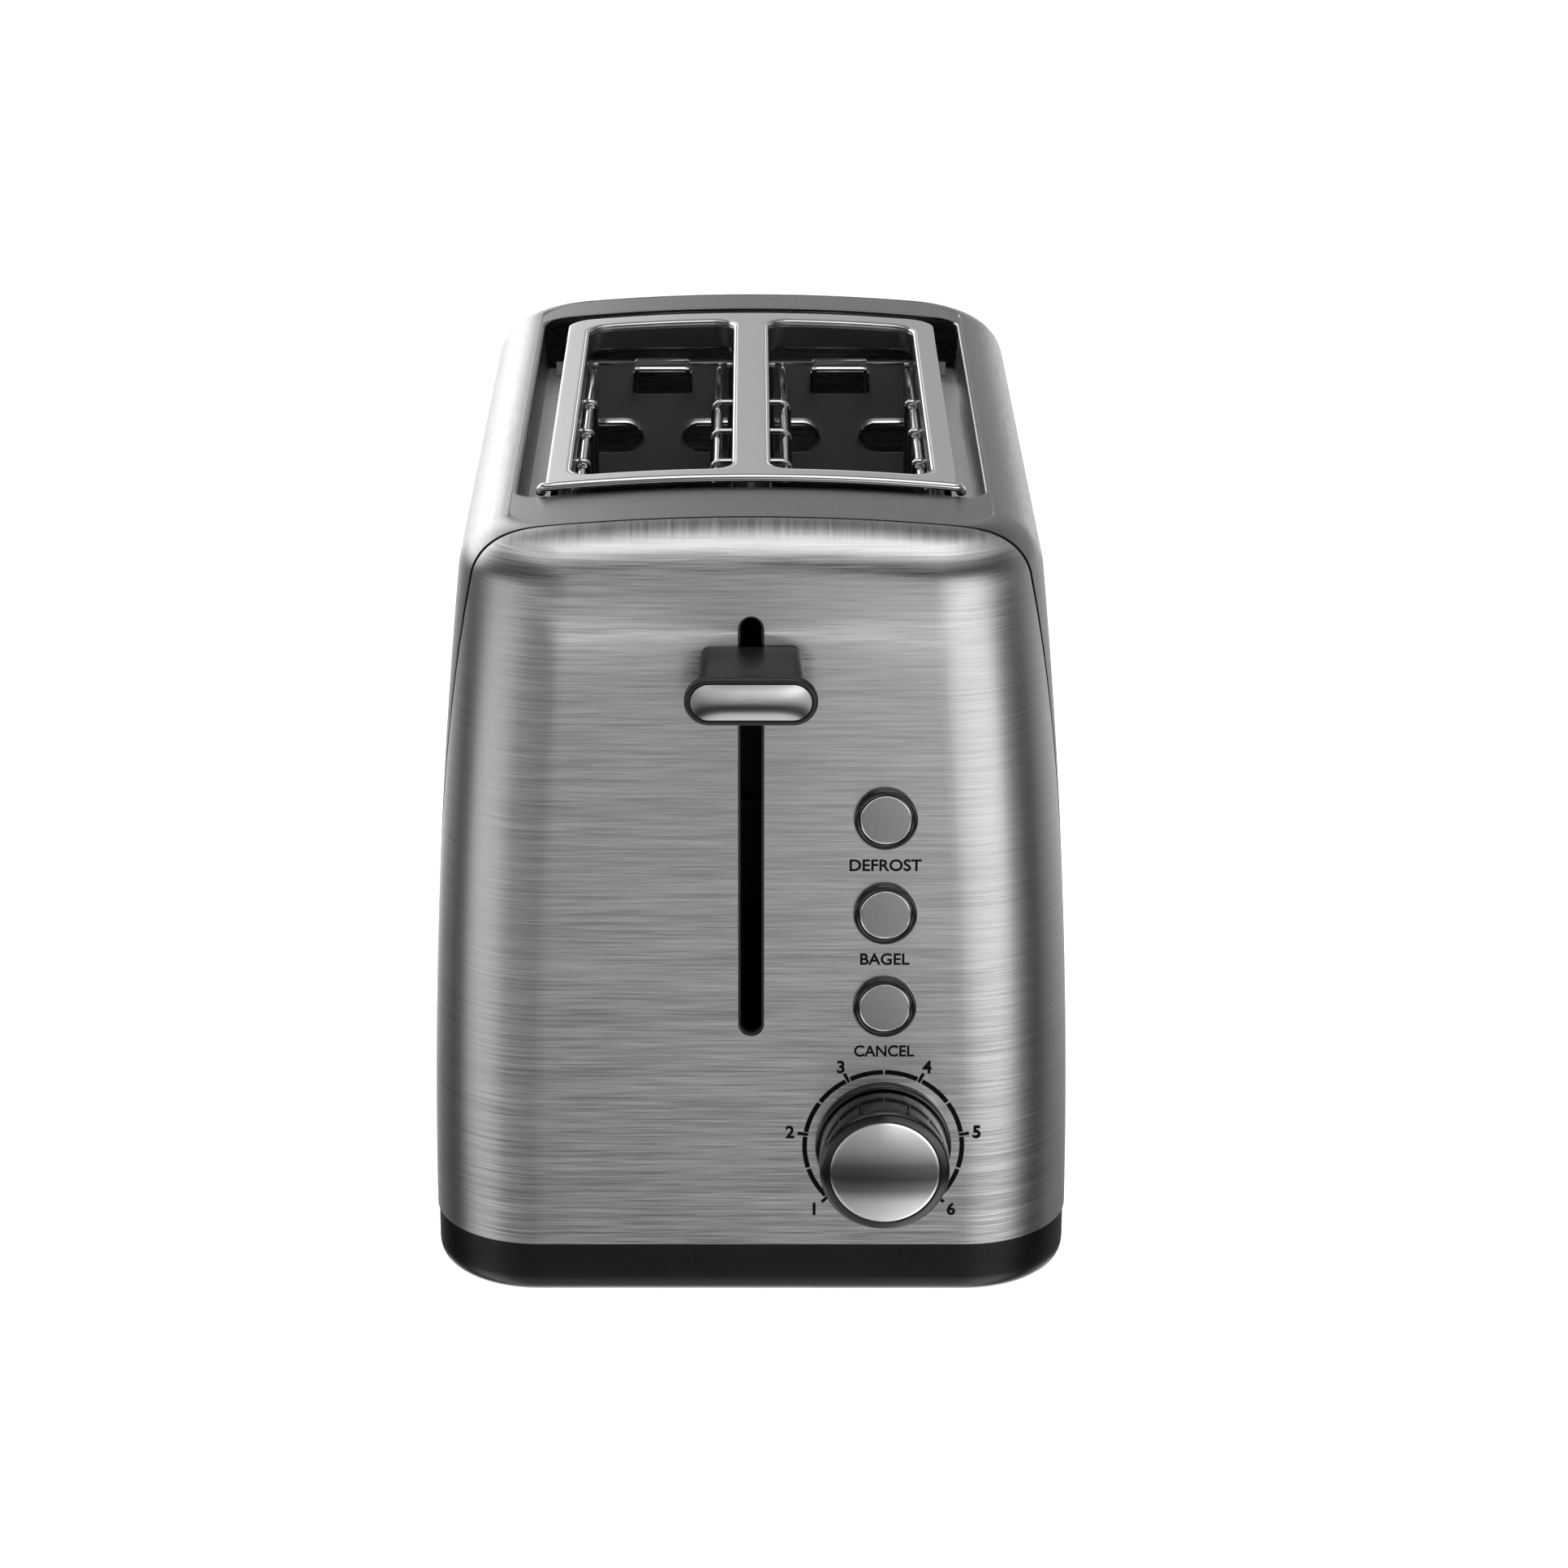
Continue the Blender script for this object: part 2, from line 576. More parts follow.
# ---- one operator for each piece or group of like pieces ----
class TOASTER_OT_finishes(Operator):
    """Make every finish and put it on the CAD nodes that stay visible"""

    bl_idname = "toaster.finishes"
    bl_label = "Finishes"

    def execute(self, context):
        look = context.scene.toaster_finishes
        steel, satin, bright = tuple(look.steel), tuple(look.satin), tuple(look.chrome)
        black = tuple(look.black)
        MATERIALS.update({
            "panel_steel": brushed_steel("panel_steel", steel, look.grain),
            "wrapper_steel": satin_steel("wrapper_steel", satin, 0.32),
            "plate_steel": satin_steel("plate_steel", (0.82, 0.82, 0.825), 0.40),
            "bright_steel": polished_metal("bright_steel", (0.62, 0.62, 0.63), 0.10),
            "chrome": polished_metal("chrome", bright, 0.04),
            "wire_chrome": polished_metal("wire_chrome", (0.75, 0.75, 0.76), 0.12),
            "zinc": satin_steel("zinc", (0.50, 0.51, 0.53), 0.38, 0.2),
            "dark_steel": satin_steel("dark_steel", (0.03, 0.03, 0.031), 0.4, 0.2),
            "chamber_steel": mottled("chamber_steel", (0.44, 0.44, 0.445), (0.52, 0.52, 0.525), 0.18, (12, 12, 12),
                                     0.6),
            "collar_steel": mottled("collar_steel", (0.15, 0.15, 0.15), (0.2, 0.2, 0.2), 0.2, (12, 12, 12), 0.7),
            "base_black": moulded_plastic("base_black", tuple(0.7 * c for c in black), 0.28, 0.2),
            "knob_black": moulded_plastic("knob_black", (0.016, 0.016, 0.0165), 0.34, 0.1),
            "gloss_black": moulded_plastic("gloss_black", (0.010, 0.010, 0.0105), 0.12, 0.5, 0.02),
            "button_grey": satin_steel("button_grey", tuple(look.grey), 0.42, 0.15),
            "print_black": moulded_plastic("print_black", (0.004, 0.004, 0.004), 0.5, 0.0, 0.05),
            "rubber": mottled("rubber", (0.010, 0.010, 0.010), (0.018, 0.018, 0.018), 0.75, (500, 500, 500)),
            "mica": mottled("mica", (0.06, 0.056, 0.05), (0.12, 0.11, 0.10), 0.5, (220, 90, 220)),
            "ribbon": mottled("ribbon", (0.20, 0.18, 0.17), (0.36, 0.34, 0.33), 0.4, (900, 60, 900), 1.0),
            "board": mottled("board", (0.010, 0.070, 0.030), (0.014, 0.095, 0.040), 0.35, (300, 300, 300)),
            "copper": mottled("copper", (0.48, 0.18, 0.08), (0.72, 0.32, 0.16), 0.3, (40, 40, 2200), 1.0),
            "ceramic": moulded_plastic("ceramic", (0.70, 0.69, 0.66), 0.45, 0.0, 0.1),
        })
        socket(material_of("print_black"), "Specular IOR Level").default_value = 0.1
        finish = {
            "rubber": ["feet"],
            "zinc": ["base_screws", "guide_rods", "magnet_core", "dial_shaft"],
            "dark_steel": ["carriage", "armature_plate", "lever_arm", "chassis_front_plate"],
            "chamber_steel": ["chassis_rear_plate", "crumb_tray"],
            "plate_steel": ["side_shield_left", "side_shield_right"],
            "wire_chrome": ["guard_left", "guard_right", "guard_centre", "bread_rack_left", "bread_rack_right"],
            "mica": ["heater_board_left", "heater_board_centre", "heater_board_right"],
            "ribbon": ["heater_winding_left", "heater_winding_centre", "heater_winding_right"],
            "knob_black": ["slot_liner", "control_carrier", "contact_block", "cord_gland", "crumb_tray_pull"],
            "gloss_black": ["button_switches", "dial_control"],
            "board": ["control_board"],
            "copper": ["magnet_coil"],
            "ceramic": ["terminal_block"],
        }
        for name, nodes in finish.items():
            for cad in nodes:
                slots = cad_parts[cad].data.materials
                slots.clear()
                slots.append(material_of(name))
        return {"FINISHED"}


class TOASTER_OT_body(Operator):
    """Steel wrapper and the two brushed end panels"""

    bl_idname = "toaster.body"
    bl_label = "Steel body"

    def execute(self, context):
        sizes = context.scene.toaster_body
        wrapper_inset = 0.0004
        front_seam = FRONT_Y + sizes.seam_depth + wrapper_inset
        rear_seam = REAR_Y - sizes.seam_depth - wrapper_inset
        beyond = 0.05
        front = body_skin("steel_front", FRONT_Y - beyond, front_seam - sizes.seam_gap, sizes, True)
        self.cut_button_holes(front)
        finish_piece(front, "root", material_of("panel_steel"), ["front_panel"])
        rear = body_skin("steel_rear", rear_seam + sizes.seam_gap, REAR_Y + beyond, sizes, False)
        finish_piece(rear, "root", material_of("panel_steel"), ["rear_panel"])
        wrapper = body_skin("steel_wrapper", front_seam, rear_seam, sizes, False)
        finish_piece(wrapper, "root", material_of("wrapper_steel"), ["wrapper_shell"])
        return {"FINISHED"}

    def cut_button_holes(self, front):
        """Open the sheet behind each button's bezel, so that the button can be pressed in."""
        covered, past = 0.0008, 0.01
        cutters = []
        for name in BUTTONS:
            centre, outer, face, back = disc(f"{name}_bezel")
            radius = outer - covered
            profile = [(0.0, face - past), (radius, face - past), (radius, back + past), (0.0, back + past)]
            cutters.append(make_piece(f"{name}_cutter", revolve(profile, centre, 64), weld=1e-7))
        cut_away(front, cutters, place=1)


class TOASTER_OT_base(Operator):
    """Black moulded base with its rounded foot edge, locating lip and crumb tray mouth"""

    bl_idname = "toaster.base"
    bl_label = "Base"

    inset: FloatProperty(name="Inset", description="Base wall behind the steel", default=0.0004, unit="LENGTH")
    wall: FloatProperty(name="Wall", description="Base wall thickness", default=0.0025, unit="LENGTH")
    foot_edge: FloatProperty(name="Foot edge", description="Rounding of the bottom edge", default=0.005, unit="LENGTH")

    def execute(self, context):
        sizes = context.scene.toaster_body
        low, high = (point[2] for point in corners("base_tray"))
        floor = low + self.wall
        line_x, line_y = np.linspace(-1, 1, 30), np.linspace(-1, 1, 50)
        fx, fy, nx, ny = outline_parameters(line_x, line_y, 24)
        core_x, core_y = HALF_WIDTH - sizes.corner_radius, (REAR_Y - FRONT_Y) / 2 - sizes.corner_radius
        lip = sizes.wall + 0.0003
        inner = lip + self.wall
        profile = rounded_profile(
            [(sizes.corner_radius, floor), (inner, floor), (inner, high), (lip, high), (lip, STEEL_Z),
             (self.inset, STEEL_Z), (self.inset, low), (sizes.corner_radius, low)],
            [0.001, 0.0003, 0.0003, 0.0, 0.0005, self.foot_edge], steps=9)
        inset, z = profile[:, :1], profile[:, 1:]
        x = fx * core_x + (sizes.corner_radius - inset) * nx
        y = MID_Y + fy * core_y + (sizes.corner_radius - inset) * ny
        shell = grid(np.stack([x, y, np.broadcast_to(z, x.shape)], axis=-1), close_u=True)
        inside = np.stack(np.meshgrid(line_x * core_x, MID_Y + line_y * core_y), axis=-1)
        lids = [grid(np.dstack([inside, np.full(inside.shape[:2], level)])) for level in (floor, low)]
        piece = make_piece("base_moulding", combine([shell] + lids), weld=1e-6)
        self.cut_mouth(piece, floor)
        finish_piece(piece, "root", material_of("base_black"), ["base_tray"])
        return {"FINISHED"}

    def cut_mouth(self, piece, floor):
        """Cut the crumb tray's mouth through the rear wall."""
        pull_low, pull_high = corners("crumb_tray_pull")
        gap = 0.0003
        x, y0, y1 = pull_high[0] + gap, pull_low[1] - 0.03, pull_high[1] + 0.01
        z0, z1 = floor, pull_high[2] + gap
        middle = np.array([0, 0, (z0 + z1) / 2])
        ring = rounded_ring(x, (z1 - z0) / 2, 0.001, 4, 2)
        mouth = np.stack([np.column_stack([ring[:, 0], 0 * ring[:, 0] + y, middle[2] + ring[:, 1]]) for y in (y0, y1)])
        caps = np.stack([mouth[0] * [0, 1, 0] + middle, *mouth, mouth[1] * [0, 1, 0] + middle])
        cut_away(piece, [make_piece("mouth_cutter", grid(caps, close_u=True), weld=1e-7)])


class TOASTER_OT_slot_plate(Operator):
    """Crowned plate with two bread slots, rolled slot rims, collars and the bright front bead"""

    bl_idname = "toaster.slot_plate"
    bl_label = "Slot plate"

    def execute(self, context):
        sizes, plate = context.scene.toaster_body, context.scene.toaster_plate
        y0 = FRONT_Y + plate.front
        y1 = y0 + plate.length
        slot_y = FRONT_Y + plate.slot_front + plate.slot_length / 2
        slot_x = (plate.bar_width + plate.slot_width) / 2
        line = np.linspace(-1, 1, 24)
        fx, fy, nx, ny = outline_parameters(line, np.linspace(-1, 1, 40), 14)
        rim, rim_wall = 0.0009, 0.00025
        square_corner, tail_corner = 0.00001, 0.0065
        cells, rims, walls = [], [], []
        for side in (-1, 1):
            x_mid = side * plate.half_width / 2
            outer_corner = square_corner + tail_corner * (1 + side * fx) / 2 * (1 + fy) / 2
            outer_x = x_mid + fx * (plate.half_width / 2 - outer_corner) + outer_corner * nx
            outer_y = (y0 + y1) / 2 + fy * (plate.length / 2 - outer_corner) + outer_corner * ny
            core_x = side * slot_x + fx * (plate.slot_width / 2 - plate.slot_corner)
            core_y = slot_y + fy * (plate.slot_length / 2 - plate.slot_corner)
            reach = plate.slot_corner + rim
            start = np.stack([core_x + reach * nx, core_y + reach * ny], axis=-1)
            flat = np.stack([outer_x, outer_y], axis=-1)
            steps = np.linspace(0, 1, 8)[:, None, None]
            across = flat + (start - flat) * steps
            cells.append(grid(np.dstack([across, crown(across[..., 0], sizes) + plate.proud]), close_u=True))
            turn = np.linspace(0, np.pi / 2, 7)[:, None]
            inset = np.concatenate([rim * np.sin(turn), np.full((6, 1), rim)])
            fall = np.concatenate([rim * (1 - np.cos(turn)),
                                   rim + (plate.collar_depth - rim) * np.linspace(0, 1, 7)[1:, None]])
            x = core_x + (reach - inset) * nx
            y = core_y + (reach - inset) * ny
            z = np.maximum(crown(x, sizes) + plate.proud - fall, TOP_Z + plate.proud - plate.collar_depth)
            ring = np.stack([x, y, z], axis=-1)
            rims.append(grid(ring[:7], close_u=True))
            walls.append(grid(ring[6:], close_u=True))
        sheet = make_piece("slot_plate_sheet", combine(cells), weld=2e-5)
        thicken(sheet, plate.thickness)
        soften(sheet, 0.0002)
        finish_piece(sheet, "root", material_of("plate_steel"), ["slot_plate"])
        for name, patches, finish in (("slot_rims", rims, "bright_steel"), ("slot_collars", walls, "collar_steel")):
            piece = make_piece(name, combine(patches), sharp=60)
            thicken(piece, rim_wall)
            finish_piece(piece, "root", material_of(finish), ())
        self.front_bead(sizes, plate, y0)
        return {"FINISHED"}

    def front_bead(self, sizes, plate, y0):
        """The rolled bead along the front edge, following the crown, with its ends turned down and back."""
        x = np.linspace(-plate.half_width, plate.half_width, 60)
        z = crown(x, sizes) + plate.proud - plate.thickness / 2
        path = np.column_stack([x, np.full_like(x, y0), z])
        bend = np.linspace(0, 1, 7)[1:, None]
        hook_out, hook_back, hook_drop = 0.0012, 0.0016, 0.0020
        hook = np.column_stack([hook_out * np.sin(bend * 1.6), hook_back * bend, -hook_drop * bend ** 2])
        right = path[-1] + hook
        left = (path[0] + hook * [-1, 1, 1])[::-1]
        whole = np.concatenate([left, path, right])
        size = np.full(len(whole), plate.bead_radius)
        size[:3] = size[-3:] = plate.bead_radius * np.array([1.15, 1.25, 1.15])
        bead = make_piece("slot_plate_bead", tube(whole, size, sides=16), weld=1e-6)
        finish_piece(bead, "root", material_of("chrome"), ())


class TOASTER_OT_lever(Operator):
    """Lever knob with its flange, tapering neck and domed bright inlay"""

    bl_idname = "toaster.lever"
    bl_label = "Lever"

    def execute(self, context):
        low, high = corners("lever_knob")
        centre_z = (low[2] + high[2]) / 2
        half_w, half_h = high[0], (high[2] - low[2]) / 2
        front = low[1]
        reach = high[1] - front
        seat_w, seat_h, point = 0.01465, 0.00465, (0.0005, 0.0002, 0.0002)
        rows = [  # half width, half height, corner radius, depth behind the flange's front
            (*point, 0.0010), (seat_w, seat_h, seat_h, 0.0010), (seat_w, seat_h, seat_h, 0.00035),
            (0.01480, 0.0048, 0.0048, 0.00005), (half_w - 0.0007, half_h - 0.0007, half_h - 0.0007, 0.0),
            (half_w - 0.0002, half_h - 0.0002, half_h - 0.0002, 0.0003), (half_w, half_h, half_h, 0.0009),
            (half_w, half_h, half_h, 0.0021), (half_w - 0.0003, half_h - 0.0003, half_h - 0.0003, 0.0028),
            (half_w - 0.0012, half_h - 0.0007, half_h - 0.0007, 0.0032), (0.0137, 0.0050, 0.0040, 0.0036),
            (0.0132, 0.0049, 0.0034, 0.0050), (0.0129, 0.0050, 0.0030, 0.0080), (0.0126, 0.0052, 0.0028, 0.0140),
            (0.0122, 0.0056, 0.0026, reach - 0.0012), (0.0121, 0.0056, 0.0024, reach - 0.0005),
            (0.0115, 0.0050, 0.0018, reach), (*point, reach)]
        lean, upright = math.tan(math.radians(7.06)), 0.008
        rings = []
        for half_width, half_height, radius, depth in rows:
            ring = rounded_ring(half_width, half_height, radius, 14, 8)
            shear = ring[:, 1] * lean * min(1.0, max(0.0, (depth - upright) / upright))
            rings.append(np.column_stack([ring[:, 0], front + depth + shear, centre_z + ring[:, 1]]))
        knob = make_piece("lever_grip", grid(np.stack(rings), close_u=True, flip=True), weld=1e-7, sharp=50)
        finish_piece(knob, "lever", material_of("knob_black"), ["lever_knob"])
        face_w, face_h, fade_w, height, sunk, skirt = 0.01445, 0.00445, 0.0146, 0.0005, 0.0001, 0.0011
        dome = []
        for angle in np.linspace(0, np.pi / 2, 14):
            share = math.sin(angle)
            ring = rounded_ring(face_w * share + 1e-5, face_h * share + 1e-5, face_h * share + 5e-6, 14, 8)
            rise = height * (1 - (ring[:, 1] / face_h) ** 2) * (1 - (ring[:, 0] / fade_w) ** 4)
            dome.append(np.column_stack([ring[:, 0], front + sunk - rise, centre_z + ring[:, 1]]))
        foot = dome[-1].copy()
        foot[:, 1] = front + skirt
        dome.append(foot)
        inlay = make_piece("lever_face", grid(np.stack(dome), close_u=True), weld=1e-7, sharp=50)
        finish_piece(inlay, "lever", material_of("chrome"), ["lever_inlay"])
        return {"FINISHED"}


class TOASTER_OT_dial(Operator):
    """Browning dial: dark ring, knob with a pointer line, and a domed bright cap"""

    bl_idname = "toaster.dial"
    bl_label = "Dial"

    def execute(self, context):
        centre, ring_r, face, _ = disc("dial_ring")
        knob_r, front, back = disc("dial_knob")[1:]
        cap_r, cap_front = disc("dial_cap")[1:3]
        bore, depth = 0.004, 0.012
        ring = rounded_profile([(bore, face + 0.0004), (ring_r - 0.0012, face + 0.0004), (ring_r - 0.001, face),
                                (ring_r, face + 0.0002), (ring_r, face + depth), (bore, face + depth)],
                               [0.0002, 0.0002, 0.0006, 0.0, 0.0])
        piece = make_piece("dial_surround", revolve(np.vstack([ring, ring[:1]]), centre), weld=1e-7)
        finish_piece(piece, "root", material_of("gloss_black"), ["dial_ring"])
        knob = rounded_profile([(0.0, front + 0.0008), (cap_r, front + 0.0008), (cap_r, front), (cap_r + 0.0003, front),
                                (knob_r - 0.0001, front + 0.0006), (knob_r, front + 0.0022), (knob_r, back - 0.0016),
                                (knob_r - 0.0006, back - 0.0012), (knob_r - 0.0006, back), (0.0, back)],
                               [0.0001, 0.0001, 0.0002, 0.0009, 0.0008, 0.0003, 0.0003, 0.0002])
        piece = make_piece("dial_grip", revolve(knob, centre, 128), weld=1e-7)
        finish_piece(piece, "dial", material_of("gloss_black"), ["dial_knob"])
        span = np.linspace(0, 1, 24)
        dome = np.column_stack([span * (cap_r - 0.0003), cap_front + 0.0009 * span ** 2])
        rim = cap_r - 0.00002
        edge = rounded_profile([dome[-1], (rim, dome[-1, 1] + 0.0001), (rim, front + 0.0009)], [0.0002])
        piece = make_piece("dial_face", revolve(np.vstack([dome, edge]), centre, 128), weld=1e-7)
        finish_piece(piece, "dial", material_of("chrome"), ["dial_cap"])
        return {"FINISHED"}


class TOASTER_OT_buttons(Operator):
    """Three round push buttons in dark bezels"""

    bl_idname = "toaster.buttons"
    bl_label = "Buttons"

    def execute(self, context):
        turn = np.linspace(0, 2 * np.pi, 13)
        depth, stem, carrier_gap, glint = 0.006, 0.0022, 0.0023, 0.00022
        carrier = corners("control_carrier")[0][1]
        for name in BUTTONS:
            centre, outer, front, _ = disc(f"{name}_bezel")
            bore = outer - 0.0014
            bezel = rounded_profile([(bore, front + depth), (bore, front + 0.0003), (bore + 0.0004, front),
                                     (outer - 0.0003, front), (outer, front + 0.0004), (outer, front + depth),
                                     (bore, front + depth)], [0.0002, 0.0002, 0.0003, 0.0002, 0.0])
            piece = make_piece(f"{name}_surround", revolve(bezel, centre), weld=1e-7)
            finish_piece(piece, "root", material_of("gloss_black"), [f"{name}_bezel"])
            _, radius, front, end = disc(f"{name}_button")
            back = min(front + depth, carrier - carrier_gap)
            cap = rounded_profile([(0.0, front), (radius - 0.0001, front), (radius, front + 0.0005), (radius, back),
                                   (stem, back), (stem, end), (0.0, end)], [0.00035, 0.0002, 0.0003, 0.0, 0.0002])
            piece = make_piece(f"{name}_cap", revolve(cap, centre), weld=1e-7)
            finish_piece(piece, f"{name}_button", material_of("button_grey"), [f"{name}_button"])
            edge = glint * np.column_stack([np.sin(turn), np.cos(turn)]) + [radius - 0.0002 + 0.00012, front + 0.00012]
            piece = make_piece(f"{name}_edge", revolve(edge, centre), weld=1e-7)
            finish_piece(piece, f"{name}_button", material_of("chrome"), ())
        return {"FINISHED"}


def on_face(flat, sizes, lift=0.00006):
    """Lay flat (x, z) points on the leaning front face, a hair in front of it."""
    y = FRONT_Y + face_lean(flat[:, 1] - STEEL_Z, sizes) - lift
    return np.column_stack([flat[:, 0], y, flat[:, 1]])


def lettering(name, text, centre, width, height, sizes, weight=0.02):
    """Plain sans lettering as a flat mesh, sized to a width and cap height and laid on the front face."""
    curve = bpy.data.curves.new(name, "FONT")
    curve.body = text
    curve.align_x = "CENTER"
    curve.resolution_u = 6
    curve.offset = weight
    carrier = bpy.data.objects.new(name, curve)
    bpy.context.scene.collection.objects.link(carrier)
    mesh = evaluated_mesh(carrier)
    bpy.data.objects.remove(carrier)
    flat = np.empty(len(mesh.vertices) * 3)
    mesh.vertices.foreach_get("co", flat)
    flat = flat.reshape(-1, 3)[:, :2]
    low, high = flat.min(0), flat.max(0)
    wide, tall = high - low
    stretch = height / tall
    flat = (flat - (low + high) / 2) * [width / wide if width else stretch, stretch] + centre
    mesh.vertices.foreach_set("co", on_face(flat, sizes).ravel())
    piece = bpy.data.objects.new(name, mesh)
    bpy.context.scene.collection.objects.link(piece)
    return finish_piece(piece, "root", material_of("print_black"), ())


class TOASTER_OT_print(Operator):
    """Button words, dial numbers and the dial's printed scale"""

    bl_idname = "toaster.print"
    bl_label = "Print"

    ring_radius: FloatProperty(name="Scale radius", description="Outer radius of the printed ring", default=0.02024,
                               unit="LENGTH")
    ring_width: FloatProperty(name="Line width", description="Width of the printed ring", default=0.0012, unit="LENGTH")

    def execute(self, context):
        sizes = context.scene.toaster_body
        word_drop, word_height, number_height = 0.01175, 0.003, 0.0034
        number_reach, end_number_reach = 0.0236, 0.0243
        for name, width in zip(BUTTONS, (0.0177, 0.0122, 0.0149)):
            centre = disc(f"{name}_bezel")[0][[0, 2]] - [0, word_drop]
            lettering(f"{name}_word", name.upper(), centre, width, word_height, sizes)
        dial = disc("dial_ring")[0]
        step = math.radians(54)
        for number in range(1, 7):
            angle = (number - 3.5) * step
            reach = end_number_reach if number in (1, 6) else number_reach
            centre = dial[[0, 2]] + reach * np.array([math.sin(angle), math.cos(angle)])
            lettering(f"dial_number_{number}", str(number), centre, 0.0, number_height, sizes, weight=0.032)
        patches = []
        tick_gap, nick = math.radians(1.9), math.radians(0.7)
        inner, tick_half, tick_reach = self.ring_radius - self.ring_width, 0.0004, 0.0014
        for part in range(10):
            start = -2.5 * step + part * step / 2
            ends = (nick, tick_gap) if part % 2 else (tick_gap, nick)
            angle = np.linspace(start + ends[0], start + step / 2 - ends[1], 14)
            patches.append(self.band(angle, inner, self.ring_radius, dial, sizes))
        for number in range(6):
            angle = (number - 2.5) * step + np.array([-1, 1]) * tick_half / self.ring_radius
            patches.append(self.band(angle, inner, self.ring_radius + tick_reach, dial, sizes))
        piece = make_piece("dial_scale", combine(patches))
        finish_piece(piece, "root", material_of("print_black"), ())
        return {"FINISHED"}

    def band(self, angle, inner, outer, dial, sizes):
        """An arc band between two radii, laid on the face."""
        radius = np.linspace(inner, outer, 3)[:, None]
        x, z = dial[0] + radius * np.sin(angle), dial[2] + radius * np.cos(angle)
        points = on_face(np.column_stack([x.ravel(), z.ravel()]), sizes).reshape(3, len(angle), 3)
        return grid(points)


class TOASTER_OT_chamber(Operator):
    """Pressed rims and lanced tabs of the rear end plate"""

    bl_idname = "toaster.chamber"
    bl_label = "Chamber details"

    def execute(self, context):
        plate = context.scene.toaster_plate
        face_y = corners("chassis_rear_plate")[0][1]
        top = TOP_Z + plate.proud
        slot_x = (plate.bar_width + plate.slot_width) / 2
        window_end, window_drop, window_rise = 0.0045, 0.0351, 0.0046
        window_flat = plate.slot_width * 0.21 - window_end
        arch = np.linspace(0, np.pi, 15)
        tab = rounded_profile([(-0.0078, -0.0210), (-0.0078, -0.0144), (0.0078, -0.0144), (0.0078, -0.0210)],
                              [0.0018, 0.0018], steps=8)
        ledge = np.array([-1, -0.36, -0.34, 0.34, 0.36, 1.0]) * plate.slot_width * 0.53
        ledge_z = top - 0.0131 + 0.0006 * np.array([0, 0, 1, 1, 0, 0])
        edge_z = np.linspace(top - 0.014, top - 0.06, 8)
        patches = []

        def bar(x, behind, z, radius, reference=(0, 1, 0), sides=10):
            """A round bar whose centre line lies behind or ahead of the end plate's face."""
            path = np.column_stack(np.broadcast_arrays(x, face_y + behind, z))
            patches.append(tube(path, radius, reference, sides))

        for middle in (-slot_x, slot_x):
            for side in (-1, 1):
                x = middle + side * plate.slot_width * 0.36
                across = np.sign(np.cos(arch)) * window_flat + window_end * np.cos(arch)
                bar(x + across, -0.0007, top - window_drop + window_rise * np.sin(arch), 0.0009)
            bar(middle + tab[:, 0], -0.0022, top + tab[:, 1], 0.00085)
            bar(middle + ledge, 0.0002, ledge_z, 0.0007, reference=(0, 0, 1))
            for side in (-1, 1):
                bar(middle + side * plate.slot_width * 0.485, -0.0006, edge_z, 0.0014, sides=12)
        piece = make_piece("end_plate_rims", combine(patches), weld=1e-7)
        finish_piece(piece, "root", material_of("wire_chrome"), ())
        return {"FINISHED"}


class TOASTER_OT_springs(Operator):
    """Coiled return springs that stretch with the carriage"""

    bl_idname = "toaster.springs"
    bl_label = "Return springs"

    turns: IntProperty(name="Turns", description="Turns of wire in a spring", default=34, min=4)

    def execute(self, context):
        wire, seat, clearance, points_per_turn = 0.00045, 0.0006, 0.0005, 14
        for side in ("left", "right"):
            low, high = corners(f"return_spring_{side}")
            centre, radius = (low + high) / 2, (high[0] - low[0]) / 2 - clearance
            t = np.linspace(0, 1, self.turns * points_per_turn)
            angle = 2 * np.pi * self.turns * t
            z = low[2] + seat + (high[2] - low[2] - 2 * seat) * t
            path = np.column_stack([centre[0] + radius * np.cos(angle), centre[1] + radius * np.sin(angle), z])
            piece = make_piece(f"spring_coil_{side}", tube(path, wire, sides=6), weld=1e-7)
            piece.data.materials.append(material_of("zinc"))
            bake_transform(piece)
            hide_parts(f"return_spring_{side}")
        return {"FINISHED"}


